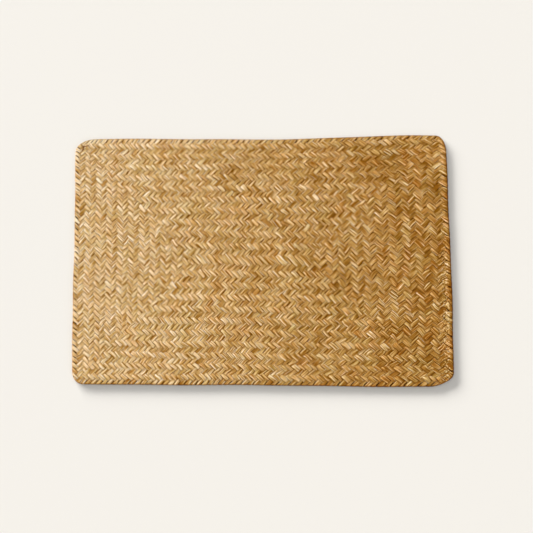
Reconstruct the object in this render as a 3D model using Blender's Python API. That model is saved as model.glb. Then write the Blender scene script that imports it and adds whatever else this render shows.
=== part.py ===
# Straw placemat: one oblong mat plaited from flattened straws on the diagonal.
# The straws fold back at the rim, so the mat has no separate binding and is a single solid.
# The plait runs in mitred rings that follow the four sides, and each pair of rings is a low ridge.
# Metres, +Z up, +X along the long side, +Y to the far side, origin at the centre of the underside.
import math

import bmesh
import bpy

# driving dimensions
LENGTH = 0.449
DEPTH_LEFT = 0.2968
NEAR_FALL = 0.0036
FAR_RISE = 0.0048
LEAN = 0.0027
RIGHT_BOW = 0.0012
RIPPLE = 0.00035
THICKNESS = 0.003
RIM_ROUND = 0.0015
STRAW_STEP = 0.00349
RIDGE_HEIGHT = 0.0003

# the far side keeps level, then rises between these two shares of its length
RISE_FROM = 0.56
RISE_TO = 0.94

# a ridge is four straw steps wide, and the first crest lies two and a half steps in
RIDGE_PITCH = 4 * STRAW_STEP
FIRST_CREST = 2.5 * STRAW_STEP
RIDGE_COUNT = 10

# each corner by its signs of X and Y: length along X, length along Y, and how flat it is cut
# a flatness of 0.5 is a quarter ellipse and more is nearer to a straight cut
CORNERS = {
    (-1, 1): (0.025, 0.016, 0.50),
    (1, 1): (0.012, 0.020, 0.50),
    (1, -1): (0.031, 0.016, 0.58),
    (-1, -1): (0.013, 0.015, 0.50),
}

# fineness of the mesh
POINTS_LONG = 32
POINTS_SHORT = 24
RIM_STEPS = 6

STRAW_COLOUR = (0.52, 0.32, 0.12, 1.0)
STRAW_ROUGHNESS = 0.6


def clear_objects():
    for old in list(bpy.data.objects):
        bpy.data.objects.remove(old, do_unlink=True)


def smooth_rise(t):
    t = min(max(t, 0.0), 1.0)
    return t * t * (3.0 - 2.0 * t)


def ripple(t, phase):
    # the small unevenness that hand plaiting leaves along a side
    return RIPPLE * (math.sin(5.3 * t + phase) + 0.6 * math.sin(12.7 * t + 2.0 * phase))


def left_side(v):
    return -LENGTH / 2 - LEAN / 2 * v + ripple(v, 0.4)


def right_side(v):
    return LENGTH / 2 - LEAN / 2 * v + RIGHT_BOW * (0.6 - v * v) + ripple(v, 2.9)


def near_side(u):
    return -DEPTH_LEFT / 2 - NEAR_FALL * (u + 1) / 2 + ripple(u, 1.7)


def far_side(u):
    along = (u + 1) / 2
    rise = smooth_rise((along - RISE_FROM) / (RISE_TO - RISE_FROM))
    return DEPTH_LEFT / 2 + FAR_RISE * rise + ripple(u, 5.1)


def round_corner(u, v):
    # draws the square corner of the plait in to its rounded place
    key = (1 if u > 0 else -1, 1 if v > 0 else -1)
    along_x, along_y, flatness = CORNERS[key]
    zone_u = along_x / (LENGTH / 2)
    zone_v = along_y / (DEPTH_LEFT / 2)
    p = (abs(u) - (1 - zone_u)) / zone_u
    q = (abs(v) - (1 - zone_v)) / zone_v
    if p <= 0 or q <= 0:
        return u, v
    drawn_p = p * (1 - q * q / 2) ** flatness
    drawn_q = q * (1 - p * p / 2) ** flatness
    return key[0] * (1 - zone_u * (1 - drawn_p)), key[1] * (1 - zone_v * (1 - drawn_q))


def place(u, v):
    # u and v run from -1 to 1 across the plait, from left to right and from near to far
    u, v = round_corner(u, v)
    x = left_side(v) + (right_side(v) - left_side(v)) * (u + 1) / 2
    y = near_side(u) + (far_side(u) - near_side(u)) * (v + 1) / 2
    return x, y


def ring_shares():
    # the points of one ring, closer together towards the corners, counterclockwise from above
    long_side = [math.sin(math.pi * (i / POINTS_LONG - 0.5)) for i in range(POINTS_LONG)]
    short_side = [math.sin(math.pi * (i / POINTS_SHORT - 0.5)) for i in range(POINTS_SHORT)]
    shares = [(t, -1.0) for t in long_side]
    shares += [(1.0, t) for t in short_side]
    shares += [(-t, 1.0) for t in long_side]
    shares += [(-1.0, -t) for t in short_side]
    return shares


def ring_points(inset):
    scale_u = 1 - inset / (LENGTH / 2)
    scale_v = 1 - inset / (DEPTH_LEFT / 2)
    return [place(su * scale_u, sv * scale_v) for su, sv in ring_shares()]


def outline_centre():
    outline = ring_points(0.0)
    xs = [x for x, y in outline]
    ys = [y for x, y in outline]
    return (min(xs) + max(xs)) / 2, (min(ys) + max(ys)) / 2


def section():
    # inset from the outline and height, from the underside round the rim to the innermost ring
    half = (THICKNESS - RIDGE_HEIGHT) / 2
    profile = []
    for i in range(RIM_STEPS + 1):
        angle = math.pi * (i / RIM_STEPS - 0.5)
        profile.append((RIM_ROUND * (1 - math.cos(angle)), half * (1 + math.sin(angle))))
    for i in range(RIDGE_COUNT):
        crest = FIRST_CREST + i * RIDGE_PITCH
        profile.append((crest, THICKNESS))
        profile.append((crest + RIDGE_PITCH / 2, THICKNESS - RIDGE_HEIGHT))
    return profile


def straw_material():
    material = bpy.data.materials.new("straw")
    material.use_nodes = True
    surface = material.node_tree.nodes["Principled BSDF"]
    surface.inputs["Base Color"].default_value = STRAW_COLOUR
    surface.inputs["Roughness"].default_value = STRAW_ROUGHNESS
    surface.inputs["Metallic"].default_value = 0.0
    material.diffuse_color = STRAW_COLOUR
    return material


def build_mat():
    centre_x, centre_y = outline_centre()
    work = bmesh.new()
    rings = []
    for inset, height in section():
        points = ring_points(inset)
        rings.append([work.verts.new((x - centre_x, y - centre_y, height)) for x, y in points])
    count = len(rings[0])
    for outer, inner in zip(rings, rings[1:]):
        for i in range(count):
            j = (i + 1) % count
            work.faces.new((outer[i], outer[j], inner[j], inner[i]))
    work.faces.new(list(reversed(rings[0])))
    work.faces.new(rings[-1])
    mesh = bpy.data.meshes.new("mat")
    work.to_mesh(mesh)
    work.free()
    mesh.shade_smooth()
    mesh.set_sharp_from_angle(angle=math.radians(40))
    mesh.materials.append(straw_material())
    mat = bpy.data.objects.new("mat", mesh)
    bpy.context.scene.collection.objects.link(mat)
    return mat


clear_objects()
build_mat()
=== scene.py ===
# %% [markdown]
# A straw placemat, plaited for real. The table mat in this lesson is one flat web of flattened
# straws. Every straw runs on a diagonal, goes over two and under two of the straws that cross it,
# and folds back at the rim. We build the straws themselves, because the light on each one, and the
# dark slits between them, are what makes such a mat look like straw and not like a printed sheet.

import math

import bmesh
import bpy
import numpy as np
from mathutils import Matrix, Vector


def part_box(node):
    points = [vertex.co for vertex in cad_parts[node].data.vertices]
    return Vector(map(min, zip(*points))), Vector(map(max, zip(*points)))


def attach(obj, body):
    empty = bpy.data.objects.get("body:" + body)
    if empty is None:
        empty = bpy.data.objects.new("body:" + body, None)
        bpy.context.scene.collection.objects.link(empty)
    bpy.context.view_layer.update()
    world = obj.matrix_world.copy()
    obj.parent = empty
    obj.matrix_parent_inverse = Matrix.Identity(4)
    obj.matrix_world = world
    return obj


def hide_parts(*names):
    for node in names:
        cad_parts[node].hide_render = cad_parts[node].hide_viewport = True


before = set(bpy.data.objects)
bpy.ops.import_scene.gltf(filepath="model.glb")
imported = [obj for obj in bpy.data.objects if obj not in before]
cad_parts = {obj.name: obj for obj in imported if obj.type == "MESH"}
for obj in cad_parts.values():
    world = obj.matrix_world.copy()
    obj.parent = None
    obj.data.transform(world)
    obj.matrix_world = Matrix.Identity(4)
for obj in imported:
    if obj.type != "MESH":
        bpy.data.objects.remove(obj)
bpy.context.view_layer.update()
low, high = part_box("mat")
print("solid mat, mm:", [round(1000 * (b - a), 1) for a, b in zip(low, high)])

# %% [markdown]
# The sizes come first. A mat of this kind is 450 by 300 mm. Counting the rows in it gives 86
# steps across the short side and 126 along the long side, so one step is about 3.5 mm, and a
# straw, which lies at 45 degrees, is 5 mm wide. The outline's sizes are those of the solid part,
# with its lean, its wider right end and its four unlike corners. The steps aren't all equal: the
# plaiter packed them closer by the far and near rims and let them grow wider to the right. All
# lengths are in metres. A corner's three numbers are its reach along the long side, its reach
# along the short side, and how hard it is drawn in.

# %% Sizes of the mat and its straws
LENGTH = 0.449
DEPTH_LEFT = 0.2968
NEAR_FALL = 0.0036
FAR_RISE = 0.0048
LEAN = 0.0027
RIGHT_BOW = 0.0012
RIPPLE = 0.00035
RISE_FROM = 0.56
RISE_TO = 0.94
CORNERS = {
    (-1, 1): (0.025, 0.016, 0.50),
    (1, 1): (0.012, 0.020, 0.50),
    (1, -1): (0.031, 0.016, 0.58),
    (-1, -1): (0.013, 0.015, 0.50),
}
COLUMNS = 126
ROWS = 86
THICKNESS = 0.003
STRAW_THICKNESS = 0.0007
WIDER_RIGHT = 0.070
WIDER_ENDS = 0.030
CLOSER_RIMS_LEFT = 0.035
CLOSER_RIMS_RIGHT = 0.085
step = LENGTH / COLUMNS
print("one step, mm:", round(1000 * step, 2))
print("straw pitch, mm:", round(1000 * step * math.sqrt(2), 2))

# %% [markdown]
# Geometry Nodes do their sums with Math nodes, one node for each plus or times. Written out, a
# tree for a plait is hundreds of lines long. It could be drawn by hand in the editor, but a
# script reads better if a socket can stand in a sum like a number. The small class below does
# that: each sum makes a Math node and hands back its output.

# %% A socket that can stand in a sum
class Field:
    def __init__(self, tree, socket):
        self.tree = tree
        self.socket = socket

    def math(self, operation, *others):
        node = self.tree.nodes.new("ShaderNodeMath")
        node.operation = operation
        for slot, value in zip(node.inputs, (self, *others)):
            plug(self.tree, value, slot)
        return Field(self.tree, node.outputs[0])

    def __add__(self, other):
        return self.math("ADD", other)

    def __radd__(self, other):
        return self.math("ADD", other)

    def __sub__(self, other):
        return self.math("SUBTRACT", other)

    def __rsub__(self, other):
        return (self * -1.0) + other

    def __mul__(self, other):
        return self.math("MULTIPLY", other)

    def __rmul__(self, other):
        return self.math("MULTIPLY", other)

    def __truediv__(self, other):
        return self.math("DIVIDE", other)


def plug(tree, value, slot):
    if isinstance(value, Field):
        tree.links.new(value.socket, slot)
    elif isinstance(value, bpy.types.NodeSocket):
        tree.links.new(value, slot)
    else:
        slot.default_value = value


def add_node(tree, kind, inputs=None, **settings):
    node = tree.nodes.new(kind)
    for name, value in settings.items():
        setattr(node, name, value)
    for name, value in (inputs or {}).items():
        plug(tree, value, node.inputs[name])
    return node


def smallest(first, *others):
    for other in others:
        first = first.math("MINIMUM", other)
    return first


def clamp01(value):
    return value.math("MAXIMUM", 0.0).math("MINIMUM", 1.0)


def ease(value):
    value = clamp01(value)
    return value * value * (3.0 - 2.0 * value)


def less(value, limit):
    return value.math("LESS_THAN", limit)


def vector(tree, x, y, z):
    return add_node(tree, "ShaderNodeCombineXYZ", {"X": x, "Y": y, "Z": z}).outputs[0]


def parts(tree, socket):
    node = add_node(tree, "ShaderNodeSeparateXYZ", {"Vector": socket})
    return [Field(tree, out) for out in node.outputs]

# %% [markdown]
# The plait follows one rule. Count the crossings inwards from the nearest side. Next to the far
# and near sides, crossings 0 and 1 have the rising straw on top and 2 and 3 the falling straw,
# then it starts again. Next to the left and right sides it is the other way round. The two
# patterns meet on a mitre at each corner, as in the real mat, where the rows run round in rings.

# %% The rule of over and under
REPEAT = 4.0
WITHIN_FIRST_PAIR = 1.5


def rising_on_top(x, y, columns, rows):
    from_sides = smallest(x, columns - x)
    from_ends = smallest(y, rows - y)
    near_far_part = less(from_ends, from_sides)
    first_pair_ends = less(from_ends.math("FLOORED_MODULO", REPEAT), WITHIN_FIRST_PAIR)
    first_pair_sides = less(from_sides.math("FLOORED_MODULO", REPEAT), WITHIN_FIRST_PAIR)
    return near_far_part * first_pair_ends + (1.0 - near_far_part) * (1.0 - first_pair_sides)

# %% [markdown]
# Each straw is built of short patches, one from each crossing to the next. A point for every
# patch stands in the middle of its square step, and the patch is instanced there. The squares
# are like a chessboard: the rising straws own the black ones and the falling straws the white.
# The patches are first laid side by side in straight strips and welded there, so that a straw
# never sticks to its neighbour. Then each strip is sent to its place in the plait.

# %% Named attributes that travel with every patch
STRIP_SPACING = 4.0
WELD_DISTANCE = 0.01


def store(tree, geometry, name, value, data_type="FLOAT", domain="POINT"):
    node = add_node(
        tree,
        "GeometryNodeStoreNamedAttribute",
        {"Geometry": geometry, "Name": name},
        data_type=data_type,
        domain=domain,
    )
    plug(tree, value, node.inputs["Value"])
    return node.outputs["Geometry"]


def read(tree, name, data_type="FLOAT"):
    node = add_node(tree, "GeometryNodeInputNamedAttribute", {"Name": name}, data_type=data_type)
    return node.outputs["Attribute"]


def set_position(tree, geometry, position):
    node = add_node(tree, "GeometryNodeSetPosition", {"Geometry": geometry, "Position": position})
    return node.outputs["Geometry"]


def noise(tree, place, scale, detail=1.0):
    node = add_node(
        tree,
        "ShaderNodeTexNoise",
        {"Vector": place, "Scale": scale, "Detail": detail},
        noise_dimensions="3D",
    )
    return Field(tree, node.outputs["Fac"]) - 0.5


def chance(tree, number, seed, lowest=0.0, highest=1.0):
    node = add_node(tree, "FunctionNodeRandomValue", data_type="FLOAT")
    values = [slot for slot in node.inputs if slot.enabled]
    for slot, value in zip(values, (lowest, highest, number, seed)):
        plug(tree, value, slot)
    return Field(tree, [out for out in node.outputs if out.enabled][0])


def patch_points(tree, given):
    columns = given["Columns"]
    rows = given["Rows"]
    direction = given["Direction"]
    grid = add_node(
        tree,
        "GeometryNodeMeshGrid",
        {
            "Size X": columns - 1.0,
            "Size Y": rows - 1.0,
            "Vertices X": columns,
            "Vertices Y": rows,
        },
    )
    x, y, _ = parts(tree, add_node(tree, "GeometryNodeInputPosition").outputs[0])
    column = (x + (columns - 1.0) / 2.0).math("ROUND")
    row = (y + (rows - 1.0) / 2.0).math("ROUND")
    geometry = store(tree, grid.outputs["Mesh"], "column", column)
    geometry = store(tree, geometry, "row", row)
    column = Field(tree, read(tree, "column"))
    row = Field(tree, read(tree, "row"))
    falling = (1.0 - direction) / 2.0
    black = (column + row).math("FLOORED_MODULO", 2.0)
    own_colour = less((black + falling - 1.0).math("ABSOLUTE"), 0.5)
    straw = column - direction * row + falling
    middle = (columns - direction * rows) / 2.0
    own_half = less((middle - straw) * given["Half"], 0.0)
    keep = add_node(
        tree,
        "GeometryNodeSeparateGeometry",
        {"Geometry": geometry, "Selection": own_colour * own_half},
        domain="POINT",
    )
    geometry = keep.outputs["Selection"]
    start_row = row + falling
    first = rising_on_top(column, start_row, columns, rows)
    last = rising_on_top(column + 1.0, start_row + direction, columns, rows)
    geometry = store(tree, geometry, "straw", straw)
    geometry = store(tree, geometry, "first_over", (2.0 * first - 1.0) * direction)
    return store(tree, geometry, "last_over", (2.0 * last - 1.0) * direction)


def straw_patch(tree, given):
    grid = add_node(
        tree,
        "GeometryNodeMeshGrid",
        {
            "Size X": 2.0,
            "Size Y": 1.0,
            "Vertices X": given["Points Across"],
            "Vertices Y": given["Points Along"],
        },
    )
    x, y, _ = parts(tree, add_node(tree, "GeometryNodeInputPosition").outputs[0])
    flat_top = x + (x * math.pi).math("SINE") * (given["Flat Top"] - 0.5)
    towards_dive = y + 0.5 + ((y + 0.5) * (2 * math.pi)).math("SINE") * given["Dive Rows"]
    geometry = store(tree, grid.outputs["Mesh"], "across", flat_top)
    return store(tree, geometry, "along", towards_dive)


def straw_strips(tree, given):
    points = patch_points(tree, given)
    patch = straw_patch(tree, given)
    instances = add_node(
        tree, "GeometryNodeInstanceOnPoints", {"Points": points, "Instance": patch}
    )
    real = add_node(
        tree, "GeometryNodeRealizeInstances", {"Geometry": instances.outputs["Instances"]}
    )
    strip_place = vector(
        tree,
        Field(tree, read(tree, "straw")) * STRIP_SPACING + Field(tree, read(tree, "across")),
        Field(tree, read(tree, "column")) + Field(tree, read(tree, "along")),
        0.0,
    )
    return weld(tree, set_position(tree, real.outputs["Geometry"], strip_place))


def weld(tree, geometry):
    node = add_node(
        tree,
        "GeometryNodeMergeByDistance",
        {"Geometry": geometry, "Distance": WELD_DISTANCE},
    )
    return node.outputs["Geometry"]

# %% [markdown]
# Now the plan of each straw. Along its middle a straw is a straight line of crossings. At a rim
# the last row of points has to lie on the rim itself, not square to the straw, because that is
# where it folds. So the points slide along the straw, fully at the rim and no more one step in.
# Towards the right every other straw is wide and the ones between are narrow, as if two bundles
# had been mixed. Next to a rim the upper straws are pulled narrow by the turn, which opens the
# dark slits there, but not at the right end. A soft noise then bends the whole plan, and a finer
# one crumples it at the right end, most in the near half. The reaches below are counted in steps
# of the plait. Where the taper begins, and how far it goes, are parts of the mat's length, and
# for the fall of the crumpling they are parts of its depth.

# %% Numbers of the plan
ABOVE_ZERO = 500.0
LEAST_PINCH = 0.3
PINCH_REACH = 2.0
UNPINCHED_AT_RIGHT = 4.0
TAPER_FROM = 0.30
TAPER_OVER = 0.55
CRUMPLE_REACH = 6.0
CRUMPLE_NEAR = 1.3
CRUMPLE_LESS_FAR = 0.9
CRUMPLE_FALL_FROM = 0.35
CRUMPLE_FALL_OVER = 0.45
STILL_BY_SIDES = 2.5
STILL_BY_ENDS = 3.0
OTHER_PATTERN = 77.0
BEND_SCALE = 0.07
SQUEEZE_SCALE = 0.42
CRUMPLE_SCALE = 0.9
STRETCH_RISE = 1.2
STRETCH_FADE = 0.1

# %% The plan of a straw
def straw_plan(tree, given):
    columns = given["Columns"]
    rows = given["Rows"]
    direction = given["Direction"]
    column = Field(tree, read(tree, "column"))
    row = Field(tree, read(tree, "row"))
    along = Field(tree, read(tree, "along"))
    across = Field(tree, read(tree, "across"))
    straw = Field(tree, read(tree, "straw"))
    start_row = row + (1.0 - direction) / 2.0
    end_row = start_row + direction
    at_start = less(smallest(column, start_row, rows - start_row), 0.5)
    at_end = less(smallest(columns - column - 1.0, end_row, rows - end_row), 0.5)
    along = along + (dive_at(given, column, row) - 0.5) * (along * math.pi).math("SINE")
    along = along + (at_start - at_end) * (along * along - along)
    middle_x = column + along
    middle_y = start_row + direction * along
    side_pull = clamp01(1.0 - middle_x) + clamp01(1.0 - (columns - middle_x))
    end_pull = clamp01(1.0 - middle_y) + clamp01(1.0 - (rows - middle_y))
    inwards = smallest(middle_x, columns - middle_x, middle_y, rows - middle_y)
    straw_id = straw.math("ADD", ABOVE_ZERO)
    number = chance(tree, straw_id, given["Seed"])
    own_width = chance(tree, straw_id, given["Seed"] + 1.0, given["Narrowest"], given["Widest"])
    width = own_width * (1.0 + wide_or_narrow(straw) * taper(given, middle_x) * ease(inwards))
    first = Field(tree, read(tree, "first_over"))
    last = Field(tree, read(tree, "last_over"))
    on_top = 0.5 + (first + (last - first) * ease(along)) / 2.0
    pinch = chance(tree, straw_id, given["Seed"] + 2.0, LEAST_PINCH, 1.0) * given["Rim Pinch"]
    pinch = pinch * on_top * ease((columns - middle_x) / UNPINCHED_AT_RIGHT)
    width = width - pinch * (clamp01(inwards / PINCH_REACH) * math.pi).math("SINE")
    half = across * width / 2.0
    slid = along + direction * half * (end_pull - side_pull)
    x = column + slid + direction * half
    y = start_row + direction * slid - half
    return x, y, slid, half, number


def wide_or_narrow(straw):
    return 1.0 - 2.0 * ((straw - 1.0) / 2.0).math("FLOORED_MODULO", 2.0)


def taper(given, x):
    towards_right = ease((x / given["Columns"] - TAPER_FROM) / TAPER_OVER)
    return given["Taper Left"] + (given["Taper Right"] - given["Taper Left"]) * towards_right


def dive_at(given, column, row):
    direction = given["Direction"]
    crossed = column + direction * (row + (1.0 - direction) / 2.0)
    return 0.5 + wide_or_narrow(crossed) * taper(given, column) / 2.0


def wander(tree, given, x, y):
    columns = given["Columns"]
    rows = given["Rows"]
    by_right_rim = 1.0 - ease((columns - x) / CRUMPLE_REACH)
    towards_far = ease((y / rows - CRUMPLE_FALL_FROM) / CRUMPLE_FALL_OVER)
    near_half = CRUMPLE_NEAR - CRUMPLE_LESS_FAR * towards_far
    inner_x = ease(smallest(x, columns - x) / STILL_BY_SIDES)
    inner_y = ease(smallest(y, rows - y) / STILL_BY_ENDS)
    moved = []
    for offset, value, inner in ((0.0, x, inner_x), (OTHER_PATTERN, y, inner_y)):
        place = vector(tree, x + offset, y, given["Seed"])
        bend = noise(tree, place, BEND_SCALE) * given["Wander"]
        squeeze = noise(tree, place, SQUEEZE_SCALE) * given["Squeeze"]
        crumple = noise(tree, place, CRUMPLE_SCALE) * given["Crumple"] * by_right_rim * near_half
        moved.append(value + (bend + squeeze + crumple) * inner)
    moved_x, moved_y = moved
    return stretch_rims(moved_x, columns, given), stretch_rims(moved_y, rows, given)


def stretch_rims(value, count, given):
    pulled = []
    for from_rim in (value, count - value):
        close_by = (from_rim * -STRETCH_RISE).math("EXPONENT")
        fading = (from_rim * -STRETCH_FADE).math("EXPONENT")
        pulled.append((1.0 - close_by) * fading)
    return value + (pulled[0] - pulled[1]) * given["Rim Overhang"]

# %% [markdown]
# The height of a straw comes from its two crossings. Over both, it arches up a little between
# them. From over to under, it dives quickly where the two straws that it crosses meet, so that
# each float stays flat and its ends look cut square. At the rim the height closes in to the
# middle of the mat on a quarter circle, where it meets the straw that comes back underneath.

# %% The height of a straw
ROLL_SCALE = 0.45
BETWEEN_STRAWS = 90.0
LOOSE_SEED = 9.0
LOOSENESS = 1.6


def straw_height(tree, given, slid, half, number):
    first = Field(tree, read(tree, "first_over"))
    last = Field(tree, read(tree, "last_over"))
    column = Field(tree, read(tree, "column"))
    row = Field(tree, read(tree, "row"))
    turn = ease((slid - dive_at(given, column, row)) * given["Steepness"] + 0.5)
    level = first + (last - first) * turn
    arch = (slid * (1.0 - slid) * 4.0).math("MAXIMUM", 0.0) * (first + last) / 2.0
    on_straw = (column + slid) * ROLL_SCALE
    own_line = number * BETWEEN_STRAWS
    place = vector(tree, on_straw, own_line, given["Seed"])
    roll = noise(tree, place, 1.0) * given["Roll"]
    place = vector(tree, on_straw, own_line, given["Seed"] + LOOSE_SEED)
    loose = 1.0 + noise(tree, place, 1.0) * LOOSENESS
    height = level * given["Lift"] + arch * loose * given["Arch"] + roll * half * 2.0
    height = height - given["Direction"] * given["Falling Lead"] * (1.0 - level * level)
    return height, level


def mid_surface(tree, given, geometry):
    columns = given["Columns"]
    rows = given["Rows"]
    x, y, slid, half, number = straw_plan(tree, given)
    column = Field(tree, read(tree, "column"))
    height, level = straw_height(tree, given, slid, half, number)
    inset = smallest(x, columns - x, y, rows - y) * given["Step"]
    in_fold = clamp01(inset / given["Fold Radius"])
    closing = (1.0 - (1.0 - in_fold) * (1.0 - in_fold)).math("MAXIMUM", 0.0).math("SQRT")
    height = height * closing
    moved_x, moved_y = wander(tree, given, x, y)
    real_x = (moved_x / columns - 0.5) * (given["Length"] - given["Thickness"])
    real_y = (moved_y / rows - 0.5) * (given["Depth"] - given["Thickness"])
    geometry = store(tree, geometry, "level", level * closing)
    geometry = store(tree, geometry, "plan", vector(tree, x, y, inset), "FLOAT_VECTOR")
    across = Field(tree, read(tree, "across"))
    straw_place = vector(tree, across, (column + slid) * given["Step"], number)
    geometry = store(tree, geometry, "straw_place", straw_place, "FLOAT_VECTOR")
    placed = vector(tree, real_x, real_y, height + given["Mid Height"])
    return set_position(tree, geometry, placed)

# %% [markdown]
# A flattened straw is a closed form, thick in the middle and thin at both edges. The strip is
# doubled: one copy moves up along the surface's own direction, the other moves down and is
# turned over, and the two are welded at their edges. On the rim that direction points straight
# outwards, so that the straw that comes round meets it without a notch. For the bake map, the
# strips lie side by side on a card, each with a lower half for one face and an upper half for
# the other.

# %% From strips to closed straws
ON_RIM = 0.000001
AT_SIDE = 0.001
EDGE_POWER = 4.0
HALF_STRIP_MIDDLE = 0.25
HALF_STRIP_REACH = 0.23


def straw_faces(tree, given, geometry):
    columns = given["Columns"]
    rows = given["Rows"]
    x, y, inset = parts(tree, read(tree, "plan", "FLOAT_VECTOR"))
    across = Field(tree, read(tree, "across"))
    on_rim = less(inset, ON_RIM)
    left = less(x, AT_SIDE)
    right = less(columns - x, AT_SIDE)
    near = less(y, AT_SIDE) * (1.0 - left) * (1.0 - right)
    far = less(rows - y, AT_SIDE) * (1.0 - left) * (1.0 - right)
    first = Field(tree, read(tree, "first_over"))
    outwards = vector(tree, (right - left) * first, (far - near) * first, 0.0)
    normal = add_node(tree, "GeometryNodeInputNormal").outputs[0]
    blend = add_node(tree, "ShaderNodeMix", data_type="VECTOR")
    sockets = [slot for slot in blend.inputs if slot.enabled]
    for slot, value in zip(sockets, (on_rim, normal, outwards)):
        plug(tree, value, slot)
    mixed = [out for out in blend.outputs if out.enabled][0]
    geometry = store(tree, geometry, "facing", mixed, "FLOAT_VECTOR")
    edge = across.math("ABSOLUTE").math("POWER", EDGE_POWER)
    half_thickness = (1.0 - edge).math("MAXIMUM", 0.0).math("SQRT") * given["Thickness"] / 2.0
    upper = one_face(tree, given, geometry, half_thickness, 1.0)
    lower = one_face(tree, given, geometry, half_thickness, -1.0)
    flipped = add_node(tree, "GeometryNodeFlipFaces", {"Mesh": lower})
    joined = add_node(tree, "GeometryNodeJoinGeometry")
    for part in (upper, flipped.outputs["Mesh"]):
        tree.links.new(part, joined.inputs[0])
    return joined.outputs["Geometry"]


def one_face(tree, given, geometry, half_thickness, side):
    scaled = add_node(tree, "ShaderNodeVectorMath", operation="SCALE")
    plug(tree, read(tree, "facing", "FLOAT_VECTOR"), scaled.inputs[0])
    plug(tree, half_thickness * side, scaled.inputs["Scale"])
    node = add_node(
        tree, "GeometryNodeSetPosition", {"Geometry": geometry, "Offset": scaled.outputs[0]}
    )
    geometry = store(tree, node.outputs["Geometry"], "side", side)
    geometry = store(tree, geometry, "smooth_face", given["Direction"] * -side)
    geometry = store(tree, geometry, "outside", Field(tree, read(tree, "level")) * side)
    place = strip_on_card(tree, given, (1.0 - side) / 4.0)
    return store(tree, geometry, "OFBake", place, "FLOAT2", "CORNER")


def strip_on_card(tree, given, lower):
    rows = given["Rows"]
    straw = Field(tree, read(tree, "straw"))
    across = Field(tree, read(tree, "across"))
    falling = (1.0 - given["Direction"]) / 2.0
    middle = (given["Columns"] - given["Direction"] * rows) / 2.0
    rank = ((straw - middle).math("ABSOLUTE") - 1.0) / 2.0
    starts = (straw - falling * rows).math("MAXIMUM", 0.0)
    along = Field(tree, read(tree, "column")) + Field(tree, read(tree, "along")) - starts
    strips = (given["Columns"] + rows) / 4.0
    side_by_side = rank + lower + HALF_STRIP_MIDDLE + across * HALF_STRIP_REACH
    return vector(tree, along / rows, side_by_side / strips, 0.0)


def close_edges(tree, geometry):
    position = add_node(tree, "GeometryNodeInputPosition").outputs[0]
    geometry = store(tree, geometry, "placed", position, "FLOAT_VECTOR")
    across = Field(tree, read(tree, "across"))
    strip_place = vector(
        tree,
        Field(tree, read(tree, "straw")) * STRIP_SPACING + across,
        Field(tree, read(tree, "column")) + Field(tree, read(tree, "along")),
        Field(tree, read(tree, "side")) * (1.0 - across.math("ABSOLUTE")),
    )
    geometry = weld(tree, set_position(tree, geometry, strip_place))
    return set_position(tree, geometry, read(tree, "placed", "FLOAT_VECTOR"))

# %% [markdown]
# All of it becomes one tree with named inputs, so that the same tree makes the rising and the
# falling straws of both halves of the mat. It ends by making instances real and by setting the
# material, which is what an exporter needs.

# %% The whole plait as one tree
SAME_POINT_ROW = 0.01
PLAIT_INPUTS = {
    "Columns": ("NodeSocketInt", COLUMNS),
    "Rows": ("NodeSocketInt", ROWS),
    "Direction": ("NodeSocketFloat", 1.0),
    "Half": ("NodeSocketFloat", 1.0),
    "Points Across": ("NodeSocketInt", 5),
    "Points Along": ("NodeSocketInt", 5),
    "Flat Top": ("NodeSocketFloat", 0.94),
    "Dive Rows": ("NodeSocketFloat", 0.04),
    "Step": ("NodeSocketFloat", step),
    "Length": ("NodeSocketFloat", LENGTH),
    "Depth": ("NodeSocketFloat", DEPTH_LEFT),
    "Mid Height": ("NodeSocketFloat", THICKNESS / 2),
    "Thickness": ("NodeSocketFloat", STRAW_THICKNESS),
    "Fold Radius": ("NodeSocketFloat", 0.0009),
    "Lift": ("NodeSocketFloat", 0.00058),
    "Arch": ("NodeSocketFloat", 0.00024),
    "Falling Lead": ("NodeSocketFloat", 0.00018),
    "Steepness": ("NodeSocketFloat", 2.38),
    "Roll": ("NodeSocketFloat", 0.0005),
    "Wander": ("NodeSocketFloat", 1.2),
    "Squeeze": ("NodeSocketFloat", 0.8),
    "Narrowest": ("NodeSocketFloat", 0.96),
    "Widest": ("NodeSocketFloat", 1.01),
    "Rim Pinch": ("NodeSocketFloat", 0.26),
    "Rim Overhang": ("NodeSocketFloat", 0.5),
    "Crumple": ("NodeSocketFloat", 1.6),
    "Taper Left": ("NodeSocketFloat", 0.05),
    "Taper Right": ("NodeSocketFloat", 0.26),
    "Seed": ("NodeSocketInt", 7),
    "Finish": ("NodeSocketMaterial", None),
}


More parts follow.
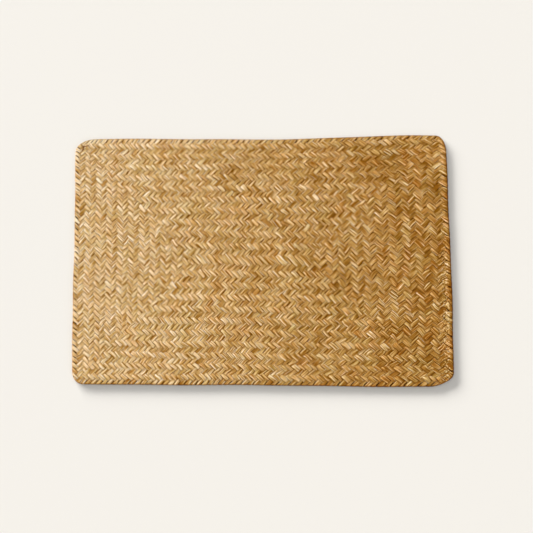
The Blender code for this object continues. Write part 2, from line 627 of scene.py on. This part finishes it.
def plait_tree():
    tree = bpy.data.node_groups.new("straw plait", "GeometryNodeTree")
    made = tree.interface.new_socket
    made(name="Geometry", in_out="OUTPUT", socket_type="NodeSocketGeometry")
    for name, (kind, default) in PLAIT_INPUTS.items():
        socket = made(name=name, in_out="INPUT", socket_type=kind)
        if default is not None:
            socket.default_value = default
    entry = tree.nodes.new("NodeGroupInput")
    given = {name: Field(tree, entry.outputs[name]) for name in PLAIT_INPUTS}
    geometry = straw_strips(tree, given)
    geometry = mid_surface(tree, given, geometry)
    geometry = straw_faces(tree, given, geometry)
    geometry = close_edges(tree, geometry)
    smooth = add_node(tree, "GeometryNodeSetShadeSmooth", {"Geometry": geometry})
    from_edge = Field(tree, read(tree, "across")).math("ABSOLUTE") - given["Flat Top"]
    creased = add_node(
        tree,
        "GeometryNodeSetShadeSmooth",
        {
            "Geometry": smooth.outputs[0],
            "Selection": less(from_edge.math("ABSOLUTE"), SAME_POINT_ROW),
            "Shade Smooth": False,
        },
        domain="EDGE",
    )
    real = add_node(tree, "GeometryNodeRealizeInstances", {"Geometry": creased.outputs[0]})
    finished = add_node(
        tree,
        "GeometryNodeSetMaterial",
        {"Geometry": real.outputs[0], "Material": given["Finish"]},
    )
    leave = tree.nodes.new("NodeGroupOutput")
    tree.links.new(finished.outputs[0], leave.inputs["Geometry"])
    return tree


plait = plait_tree()
print("nodes in the plait tree:", len(plait.nodes))

# %% [markdown]
# The real mat isn't a true rectangle. The nodes make it square, and this step then draws it to
# its outline, the way damp straw is pulled to shape over a board: each side gets its lean, bow
# and ripple, and each corner is drawn in to its own round.

# %% Draw the mat to its outline
LONG_WAVE = 5.3
SHORT_WAVE = 12.7
SHORT_WAVE_SHARE = 0.6
RIPPLE_STARTS = {"left": 0.4, "right": 2.9, "near": 1.7, "far": 5.1}
BOW_TOP = 0.6
POINTS_A_SIDE = 401


def smooth_rise(t):
    t = np.clip(t, 0.0, 1.0)
    return t * t * (3.0 - 2.0 * t)


def ripple(t, side):
    start = RIPPLE_STARTS[side]
    short_wave = np.sin(SHORT_WAVE * t + 2.0 * start)
    return RIPPLE * (np.sin(LONG_WAVE * t + start) + SHORT_WAVE_SHARE * short_wave)


def left_side(v):
    return -LENGTH / 2 - LEAN / 2 * v + ripple(v, "left")


def right_side(v):
    bow = RIGHT_BOW * (BOW_TOP - v * v)
    return LENGTH / 2 - LEAN / 2 * v + bow + ripple(v, "right")


def near_side(u):
    return -DEPTH_LEFT / 2 - NEAR_FALL * (u + 1) / 2 + ripple(u, "near")


def far_side(u):
    rise = smooth_rise(((u + 1) / 2 - RISE_FROM) / (RISE_TO - RISE_FROM))
    return DEPTH_LEFT / 2 + FAR_RISE * rise + ripple(u, "far")


def round_corners(u, v):
    u = u.copy()
    v = v.copy()
    for (sign_u, sign_v), (along_x, along_y, flatness) in CORNERS.items():
        zone_u = along_x / (LENGTH / 2)
        zone_v = along_y / (DEPTH_LEFT / 2)
        p = (sign_u * u - (1 - zone_u)) / zone_u
        q = (sign_v * v - (1 - zone_v)) / zone_v
        inside = (p > 0) & (q > 0)
        p = p[inside]
        q = q[inside]
        drawn_p = p * np.maximum(1 - q * q / 2, 0) ** flatness
        drawn_q = q * np.maximum(1 - p * p / 2, 0) ** flatness
        u[inside] = sign_u * (1 - zone_u * (1 - drawn_p))
        v[inside] = sign_v * (1 - zone_v * (1 - drawn_q))
    return u, v


def draw_together(u, v):
    wider = WIDER_RIGHT * (u * u - 1) + WIDER_ENDS * (u * u * u - u)
    at_right = smooth_rise((u + 1) / 2)
    closer = CLOSER_RIMS_LEFT + (CLOSER_RIMS_RIGHT - CLOSER_RIMS_LEFT) * at_right
    return u + wider, v + closer * (v - v * v * v)


def draw_to_outline(x, y):
    u, v = draw_together(x / (LENGTH / 2), y / (DEPTH_LEFT / 2))
    u, v = round_corners(u, v)
    new_x = left_side(v) + (right_side(v) - left_side(v)) * (u + 1) / 2
    new_y = near_side(u) + (far_side(u) - near_side(u)) * (v + 1) / 2
    return new_x, new_y


def outline_centre():
    t = np.linspace(-1.0, 1.0, POINTS_A_SIDE)
    one = np.ones_like(t)
    x = np.concatenate([t, one, t, -one]) * LENGTH / 2
    y = np.concatenate([-one, t, one, t]) * DEPTH_LEFT / 2
    x, y = draw_to_outline(x, y)
    return (x.min() + x.max()) / 2, (y.min() + y.max()) / 2


centre_x, centre_y = outline_centre()
print("centre of the drawn outline, mm:", round(1000 * centre_x, 2), round(1000 * centre_y, 2))

# %% [markdown]
# Straw is a grass stem, split and pressed flat. Its outside is smooth and pale, its inside duller
# and more golden. A straw that folds at 45 degrees on a rim turns over, so the straws that fall
# to the right show one side and those that rise the other. The tones run from the brown of a
# knot to the cream of a bleached stem, and a weak tint makes some stems greener and some redder.
# Painted shade darkens the straws down in the slits, and the fold of the rim is a little darker.

# %% Tones of straw and of the painted shade in the slits
STRAW_TONES = (
    (0.00, (0.24, 0.088, 0.008)),
    (0.30, (0.46, 0.225, 0.036)),
    (0.60, (0.67, 0.422, 0.130)),
    (1.00, (0.88, 0.712, 0.470)),
)
STRAW_TINTS = (
    (0.00, (1.05, 0.93, 0.80)),
    (0.50, (1.00, 1.00, 1.00)),
    (1.00, (0.93, 0.99, 0.92)),
)
PAINTED_SHADE_TONES = (
    # painted shade: the colour that darkens a straw in the slits, at its edges, on the rim fold
    # and on the crease
    (0.00, (0.10, 0.035, 0.005)),
    (0.50, (0.31, 0.140, 0.024)),
    (1.00, (1.00, 1.000, 1.000)),
)


def ramp(tree, value, tones):
    node = add_node(tree, "ShaderNodeValToRGB", {"Fac": value})
    elements = node.color_ramp.elements
    while len(elements) < len(tones):
        elements.new(0.5)
    for element, (position, colour) in zip(elements, tones):
        element.position = position
        element.color = (*colour, 1.0)
    return node.outputs["Color"]


def attribute(tree, name, output="Vector"):
    return add_node(tree, "ShaderNodeAttribute", attribute_name=name).outputs[output]


def times(tree, first, second):
    node = add_node(tree, "ShaderNodeVectorMath", operation="MULTIPLY")
    plug(tree, first, node.inputs[0])
    plug(tree, second, node.inputs[1])
    return node.outputs[0]


print("straw tones:", len(STRAW_TONES), "grime tones:", len(PAINTED_SHADE_TONES))

# %% [markdown]
# The straw's material reads what the nodes left on the mesh, so its pattern follows each straw
# round the fold and underneath. Every float gets a tone of its own, as stems differ and as one
# stem differs along its length. Fibres are a noise drawn out along the straw: they change its
# colour, its shine and, as a low bump, its feel. The mat is paler at its left end and darker at
# its right end: painted shade, as if the light weakened away from the left. At the right end the
# frayed tips of the stems are tucked in behind a smooth rim, more so in the near half. The stems
# that turn round the far rim are painted paler, a painted highlight where the bulging rim would
# catch the light, and a short crease of painted shade follows the far left corner. Pale stems
# shine a little; brown ones don't, nor do the slits under their painted shade. The amounts below
# are on a scale where 0 is the brownest straw and 1 the palest, and the places are in metres, from
# the middle of the mat or in from its rim.

# %% Numbers of the tones
TONE_AT_LEFT = 0.61
# painted shade: how much darker the straw is painted towards the right end
SHADE_TOWARDS_RIGHT = 0.43
FLOAT_BY_FLOAT = 0.28
IN_PATCHES = 0.15
MORE_PATCHES_AT_RIGHT = 0.20
STRAW_BY_STRAW = 0.12
STREAKS = 2.5
RIM_TONE = -0.03
# painted highlight on the stems round the far rim
FAR_RIM_HIGHLIGHT = 0.19
FAR_RIM_HIGHLIGHT_FROM = 0.11
FAR_RIM_HIGHLIGHT_OVER = 0.02
RIM_BAND_DEEP = 0.007
FOLD_DARKER = 0.14
FOLD_FROM = 0.0004
FOLD_OVER = 0.0010
RIGHT_END_FROM = 0.211
RIGHT_END_OVER = 0.004
RIGHT_END_PALER = 0.08
SMOOTH_RIM_WIDTH = 0.0015
SMOOTH_RIM_DARKER = 0.20
FRAY_SCALE = 560.0
FRAYED_NEAR = 2.3
LESS_FRAYED_FAR = 1.4
FRAY_FALL_FROM = -0.04
FRAY_FALL_OVER = 0.08

# %% The tone of a straw
BETWEEN_TONES = 100.0
FLOAT_SCALE = 90.0
FLOAT_LAYER = 3.0
PATCH_SCALE = 22.0
PATCH_LAYER = 8.0
STREAKS_ACROSS = 3.6


def share_to_right(x):
    return clamp01((x + LENGTH / 2) / LENGTH)


def straw_tone(tree, along, across, own, inset, spot):
    x, y, _ = parts(tree, spot)
    drift = share_to_right(x)
    straw_place = own * BETWEEN_TONES
    float_place = vector(tree, along * FLOAT_SCALE, straw_place, FLOAT_LAYER)
    float_tone = noise(tree, float_place, 1.0)
    patch_place = vector(tree, x * PATCH_SCALE, y * PATCH_SCALE, PATCH_LAYER)
    patch_tone = noise(tree, patch_place, 1.0, 2.0)
    streak_place = vector(tree, across * STREAKS_ACROSS, along * FLOAT_SCALE, straw_place)
    streak = noise(tree, streak_place, 1.0)
    # painted shade: the tone falls from the left end to the right end
    light = TONE_AT_LEFT - SHADE_TOWARDS_RIGHT * drift + float_tone * FLOAT_BY_FLOAT
    light = light + patch_tone * (IN_PATCHES + MORE_PATCHES_AT_RIGHT * drift)
    light = light + (own - 0.5) * STRAW_BY_STRAW + streak * STREAKS
    # painted highlight on the far rim, with the small rim tone, in a band along the rim
    rim_tone_and_highlight = FAR_RIM_HIGHLIGHT * ease((y - FAR_RIM_HIGHLIGHT_FROM) / FAR_RIM_HIGHLIGHT_OVER) + RIM_TONE
    light = light + rim_tone_and_highlight * (1.0 - ease(inset / RIM_BAND_DEEP))
    light = light - FOLD_DARKER * (1.0 - ease((inset - FOLD_FROM) / FOLD_OVER))
    return light + right_end_tone(tree, x, y, inset, spot)


def right_end_tone(tree, x, y, inset, spot):
    at_right_end = ease((x - RIGHT_END_FROM) / RIGHT_END_OVER)
    off_rim = ease((inset - SMOOTH_RIM_WIDTH) / SMOOTH_RIM_WIDTH)
    smooth_rim = at_right_end * (1.0 - off_rim)
    frayed = at_right_end * (1.0 - smooth_rim) * noise(tree, spot, FRAY_SCALE)
    how_much = FRAYED_NEAR - LESS_FRAYED_FAR * ease((y - FRAY_FALL_FROM) / FRAY_FALL_OVER)
    return RIGHT_END_PALER * at_right_end - SMOOTH_RIM_DARKER * smooth_rim + how_much * frayed

# %% [markdown]
# The tint goes from redder to greener by stem and by place, and grows more uneven to the right.
# A straw is left unshaded where its face is open to the sky and away from its edges; painted shade
# darkens it down in the slits and along its edges, and it is a little darker along the fold of the
# rim. The crease is a short line of painted shade at the far left corner, a little over two steps
# in from the rim.

# %% Tint, and painted shade in the slits and on the crease
HUE_BY_FLOAT = 0.9
HUE_MORE_AT_RIGHT = 1.0
HUE_BY_PLACE = 0.8
HUE_OF_FACE = 0.06
HUE_SCALE = 70.0
HUE_LAYER = 41.0
HUE_PLACE_SCALE = 30.0
SKY_FROM = -0.50
SKY_OVER = 0.55
EDGE_WIDTH = 0.16
EDGE_UNEVEN = 0.24
EDGE_SCALE = 120.0
EDGE_LAYER = 70.0
FOLD_WIDTH = 0.0013
DARKER_ON_FOLD = 0.15
CREASE_RING = 2.2
CREASE_WIDTH = 0.40
CREASE_LENGTH = 5.6
CREASE_FADE = 1.6


def straw_tint(tree, along, own, smooth_face, spot):
    x, _, _ = parts(tree, spot)
    drift = share_to_right(x)
    float_place = vector(tree, along * HUE_SCALE, own * BETWEEN_TONES, HUE_LAYER)
    float_hue = noise(tree, float_place, 1.0)
    place_hue = noise(tree, spot, HUE_PLACE_SCALE)
    hue = 0.5 + float_hue * (HUE_BY_FLOAT + HUE_MORE_AT_RIGHT * drift)
    hue = hue + place_hue * HUE_BY_PLACE - smooth_face * HUE_OF_FACE
    return ramp(tree, hue, STRAW_TINTS)


# painted shade mask: 1 on open faces, falling towards 0 down in the slits and at straw edges, a
# little lower on the rim fold
def slit_unshaded(tree, along, across, own, inset):
    outside = Field(tree, attribute(tree, "outside", "Fac"))
    open_sky = ease((outside - SKY_FROM) / SKY_OVER)
    edge_place = vector(tree, along * EDGE_SCALE, own * BETWEEN_TONES, EDGE_LAYER)
    uneven = noise(tree, edge_place, 1.0)
    edge_width = EDGE_WIDTH + uneven * EDGE_UNEVEN
    off_edge = ease((1.0 - across.math("ABSOLUTE")) / edge_width)
    off_fold = ease(inset / FOLD_WIDTH)
    return open_sky * off_edge * (1.0 - DARKER_ON_FOLD + DARKER_ON_FOLD * off_fold)


# painted shade along a short crease near the far left corner
def corner_crease_shade(plan_x, plan_y):
    from_far = ROWS - plan_y
    off_line = (smallest(plan_x, from_far) - CREASE_RING).math("ABSOLUTE")
    on_line = 1.0 - ease(off_line / CREASE_WIDTH)
    near_corner = 1.0 - ease((plan_x + from_far - CREASE_LENGTH) / CREASE_FADE)
    return on_line * near_corner

# %% [markdown]
# The parts come together in one material. The tone picks the colour, the tint turns it a little,
# and the painted shade of the slits darkens it. The same fibres that vary the colour also roughen
# the shine and raise a low relief.

# %% The straw material
FIBRES_ACROSS = 6.0
FIBRES_ALONG = 60.0
FACE_PALER = 0.05
# painted shade: how dark the crease line is painted
CREASE_SHADE = 0.75
SHINE = 0.95
ROUGHNESS = 0.5
FIBRE_ROUGHNESS = 0.2
BUMP_STRENGTH = 0.5
BUMP_HEIGHT = 0.0003


def straw_finish():
    material = bpy.data.materials.new("plaited straw")
    material.use_nodes = True
    tree = material.node_tree
    surface = tree.nodes["Principled BSDF"]
    across, along, own = parts(tree, attribute(tree, "straw_place"))
    plan_x, plan_y, inset = parts(tree, attribute(tree, "plan"))
    smooth_face = Field(tree, attribute(tree, "smooth_face", "Fac"))
    spot = add_node(tree, "ShaderNodeTexCoord").outputs["Object"]
    fibre_place = vector(tree, across * FIBRES_ACROSS, along * FIBRES_ALONG, own * BETWEEN_TONES)
    fibre = noise(tree, fibre_place, 1.0, 2.0)
    light = straw_tone(tree, along, across, own, inset, spot) + fibre + smooth_face * FACE_PALER
    tint = straw_tint(tree, along, own, smooth_face, spot)
    tinted = times(tree, ramp(tree, light, STRAW_TONES), tint)
    # painted shade of slits, edges and crease darkens the colour and takes out the shine
    unshaded = slit_unshaded(tree, along, across, own, inset)
    unshaded = unshaded * (1.0 - CREASE_SHADE * corner_crease_shade(plan_x, plan_y))
    colour = times(tree, tinted, ramp(tree, unshaded, PAINTED_SHADE_TONES))
    tree.links.new(colour, surface.inputs["Base Color"])
    plug(tree, unshaded * clamp01(light) * SHINE, surface.inputs["Specular IOR Level"])
    plug(tree, ROUGHNESS + fibre * FIBRE_ROUGHNESS, surface.inputs["Roughness"])
    relief = {"Strength": BUMP_STRENGTH, "Distance": BUMP_HEIGHT, "Height": fibre}
    bump = add_node(tree, "ShaderNodeBump", relief)
    tree.links.new(bump.outputs[0], surface.inputs["Normal"])
    return material


straw = straw_finish()
print("nodes in the straw material:", len(straw.node_tree.nodes))

# %% [markdown]
# The tree runs four times: rising and falling straws, each for both halves of the mat, so that
# no piece grows too heavy. What comes out is kept as a plain mesh without the nodes. It is then
# drawn to the outline and pressed flat between the table and its full thickness, as a mat is
# under plates, and the last open straw ends on the rim are closed. The bake map lays all the
# straws side by side like ribbons on a card, so a new end face takes its place from its neighbour.

# %% Run the tree and keep its result as a plain mesh
SCAFFOLD = (
    "row",
    "column",
    "straw",
    "first_over",
    "last_over",
    "across",
    "along",
    "level",
    "side",
    "facing",
    "placed",
)


def straw_piece(name, direction, half, finish):
    holder = bpy.data.objects.new("plait holder", bpy.data.meshes.new("plait holder"))
    bpy.context.scene.collection.objects.link(holder)
    modifier = holder.modifiers.new("plait", "NODES")
    modifier.node_group = plait
    asked = {"Direction": direction, "Half": half, "Finish": finish}
    for item in plait.interface.items_tree:
        if item.in_out == "INPUT" and item.name in asked:
            modifier[item.identifier] = asked[item.name]
    graph = bpy.context.evaluated_depsgraph_get()
    mesh = bpy.data.meshes.new_from_object(holder.evaluated_get(graph))
    piece = bpy.data.objects.new(name, mesh)
    bpy.data.objects.remove(holder, do_unlink=True)
    bpy.context.scene.collection.objects.link(piece)
    finish_piece(piece.data)
    print(name, "points:", len(piece.data.vertices), "faces:", len(piece.data.polygons))
    return piece


def finish_piece(mesh):
    count = len(mesh.vertices)
    places = np.empty(3 * count, np.float32)
    mesh.vertices.foreach_get("co", places)
    places = places.reshape(-1, 3).astype(float)
    x, y = draw_to_outline(places[:, 0], places[:, 1])
    places[:, 0] = x - centre_x
    places[:, 1] = y - centre_y
    places[:, 2] = np.clip(places[:, 2], 0.0, THICKNESS)
    mesh.vertices.foreach_set("co", places.astype(np.float32).ravel())
    close_ends(mesh)
    for name in SCAFFOLD:
        if name in mesh.attributes:
            mesh.attributes.remove(mesh.attributes[name])


def close_ends(mesh):
    work = bmesh.new()
    work.from_mesh(mesh)
    card = work.loops.layers.uv["OFBake"]
    rims = [edge for edge in work.edges if edge.is_boundary]
    closed = bmesh.ops.holes_fill(work, edges=rims, sides=0)["faces"]
    for face in closed:
        for corner in face.loops:
            others = [loop for loop in corner.vert.link_loops if loop.face is not face]
            corner[card].uv = others[0][card].uv
    print("  straw ends closed:", len(closed))
    work.to_mesh(mesh)
    work.free()


pieces = []
for word, direction in (("rising", 1.0), ("falling", -1.0)):
    for side, half in (("left", -1.0), ("right", 1.0)):
        pieces.append(straw_piece(f"{word}_straws_{side}", direction, half, straw))

# %% [markdown]
# The mat was photographed on a plain pale ground, looked at nearly from above. The floor is one
# flat face, a little warm, as wide as any view needs.

# %% Floor
FLOOR_REACH = 15.0
FLOOR_COLOUR = (0.85, 0.83, 0.79, 1.0)
FLOOR_ROUGHNESS = 0.9


def make_floor():
    mesh = bpy.data.meshes.new("floor")
    corners = [(-1, -1), (1, -1), (1, 1), (-1, 1)]
    places = [(FLOOR_REACH * x, FLOOR_REACH * y, 0.0) for x, y in corners]
    mesh.from_pydata(places, [], [(0, 1, 2, 3)])
    floor = bpy.data.objects.new("floor", mesh)
    bpy.context.scene.collection.objects.link(floor)
    material = bpy.data.materials.new("pale floor")
    material.use_nodes = True
    surface = material.node_tree.nodes["Principled BSDF"]
    surface.inputs["Base Color"].default_value = FLOOR_COLOUR
    surface.inputs["Roughness"].default_value = FLOOR_ROUGHNESS
    mesh.materials.append(material)
    return floor


floor = make_floor()
print("floor reaches, m:", FLOOR_REACH)

# %% [markdown]
# Two groups of soft lamps share the work. One lamp stands at the left and shows every straw's
# relief. A row of three low lamps around the upper left throws the mat's own shadow to the lower
# right of it, softer than one lamp would, and a weak lamp across from them leaves a trace of
# shadow at the other sides. In a studio a sheet of card would keep each lamp off the other's
# work. Here each lamp is told what it falls on. The pale surroundings light the rest, so that no
# slit is quite black. A lamp's numbers are its bearing, its height and its spread in degrees, and
# its strength.

# %% Light
MAT_LAMP = (160, 30, 12, 4.25)
MAT_LAMP_COLOUR = (0.98, 1.0, 1.10)
FLOOR_LAMPS = (
    (117, 8, 9, 4.05),
    (132, 8, 9, 4.05),
    (147, 8, 9, 4.05),
    (-48, 20, 25, 0.35),
)
FLOOR_LAMP_COLOUR = (1.0, 0.98, 0.95)
SURROUNDINGS = (1.0, 0.99, 0.975, 1.0)
SURROUNDINGS_STRENGTH = 0.5


def make_sun(name, azimuth, elevation, spread, strength, colour, falls_on):
    lamp = bpy.data.lights.new(name, "SUN")
    lamp.angle = math.radians(spread)
    lamp.energy = strength
    lamp.color = colour
    light = bpy.data.objects.new(name, lamp)
    bpy.context.scene.collection.objects.link(light)
    light.rotation_euler = (math.radians(90 - elevation), 0.0, math.radians(azimuth + 90))
    lit = bpy.data.collections.new(name + " falls on")
    for thing in falls_on:
        lit.objects.link(thing)
    light.light_linking.receiver_collection = lit
    print(name, "falls on:", len(falls_on))


make_sun("mat light", *MAT_LAMP, MAT_LAMP_COLOUR, pieces)
for lamp in FLOOR_LAMPS:
    make_sun(f"floor light {lamp[0]}", *lamp, FLOOR_LAMP_COLOUR, [floor])
world = bpy.data.worlds.new("studio")
world.use_nodes = True
background = world.node_tree.nodes["Background"]
background.inputs["Color"].default_value = SURROUNDINGS
background.inputs["Strength"].default_value = SURROUNDINGS_STRENGTH
bpy.context.scene.world = world
bpy.context.scene.view_settings.view_transform = "Standard"

# %% [markdown]
# The camera stands almost over the mat, ten degrees towards the near side, with a long lens, so
# that the far side looks hardly smaller than the near one.

# %% Camera
LENS = 81.6
CAMERA_PLACE = (0.0054, -0.2591, 1.4182)
CAMERA_TILT = 10.0

camera_data = bpy.data.cameras.new("camera")
camera_data.lens = LENS
camera_data.sensor_width = 36.0
camera = bpy.data.objects.new("camera", camera_data)
bpy.context.scene.collection.objects.link(camera)
camera.location = CAMERA_PLACE
camera.rotation_euler = (math.radians(CAMERA_TILT), 0.0, 0.0)
bpy.context.scene.camera = camera
print("camera height, m:", camera.location.z)

# %% [markdown]
# The four pieces take the place of the solid mat. Each holds the straws of one direction in half
# of the mat, the halves being cut along a straw. Laid flat, such a half reaches over about
# 378 by 306 mm and covers about half of the whole mat's area.

# %% Hand the pieces over
for piece in pieces:
    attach(piece, "root")
    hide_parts("mat")
